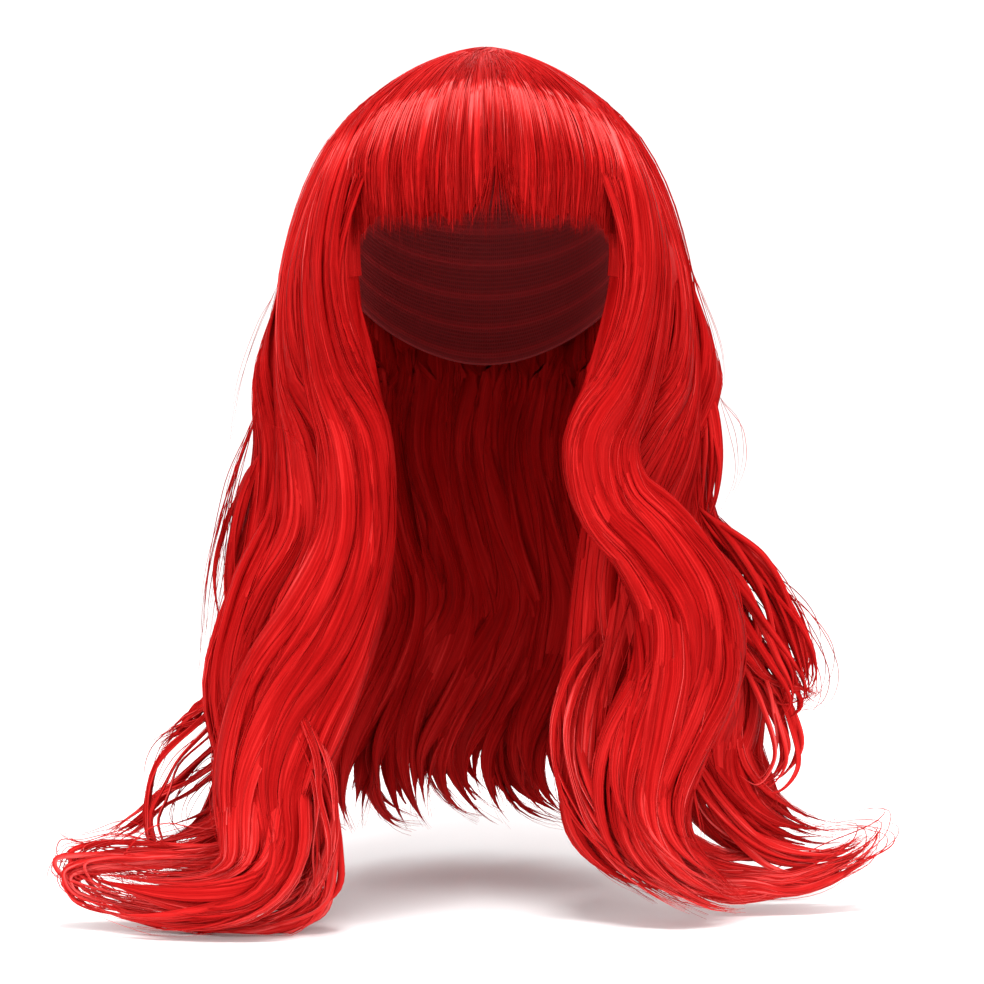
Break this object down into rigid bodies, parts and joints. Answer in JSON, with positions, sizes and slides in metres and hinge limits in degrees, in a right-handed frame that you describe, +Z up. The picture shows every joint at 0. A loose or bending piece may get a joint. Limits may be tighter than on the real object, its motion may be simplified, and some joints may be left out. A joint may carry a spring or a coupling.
{
  "type": "long wavy costume wig with a full fringe",
  "caption": "Long wavy wig with a full blunt fringe, loose curled ends and stray flicks, sewn to a thin open cap that fits over the head.",
  "frame": {"origin": "the point inside the cap that rests on the crown of the head", "axes": "+Z up, the face towards -Y, the wearer's left towards +X"},
  "size_m": [0.4019, 0.2297, 0.4278],
  "materials": {
    "cap": "matte woven mesh",
    "hair": "soft sheen of synthetic fibre"
  },
  "bodies": {
    "root": {"cap": "cap", "crown_hair": "hair", "fringe": "hair", "right_face_lock": "hair", "right_side_lock": "hair", "right_outer_lock": "hair", "left_face_lock": "hair", "left_side_lock": "hair", "left_outer_lock": "hair", "left_shoulder_lock": "hair", "left_back_lock": "hair", "middle_back_lock": "hair", "right_back_lock": "hair", "right_shoulder_lock": "hair", "right_wisp": "hair", "right_flick": "hair", "right_loop": "hair", "right_drop": "hair", "left_wisp": "hair", "left_flick": "hair", "left_loop": "hair", "left_curl": "hair"}
  },
  "joints": []
}
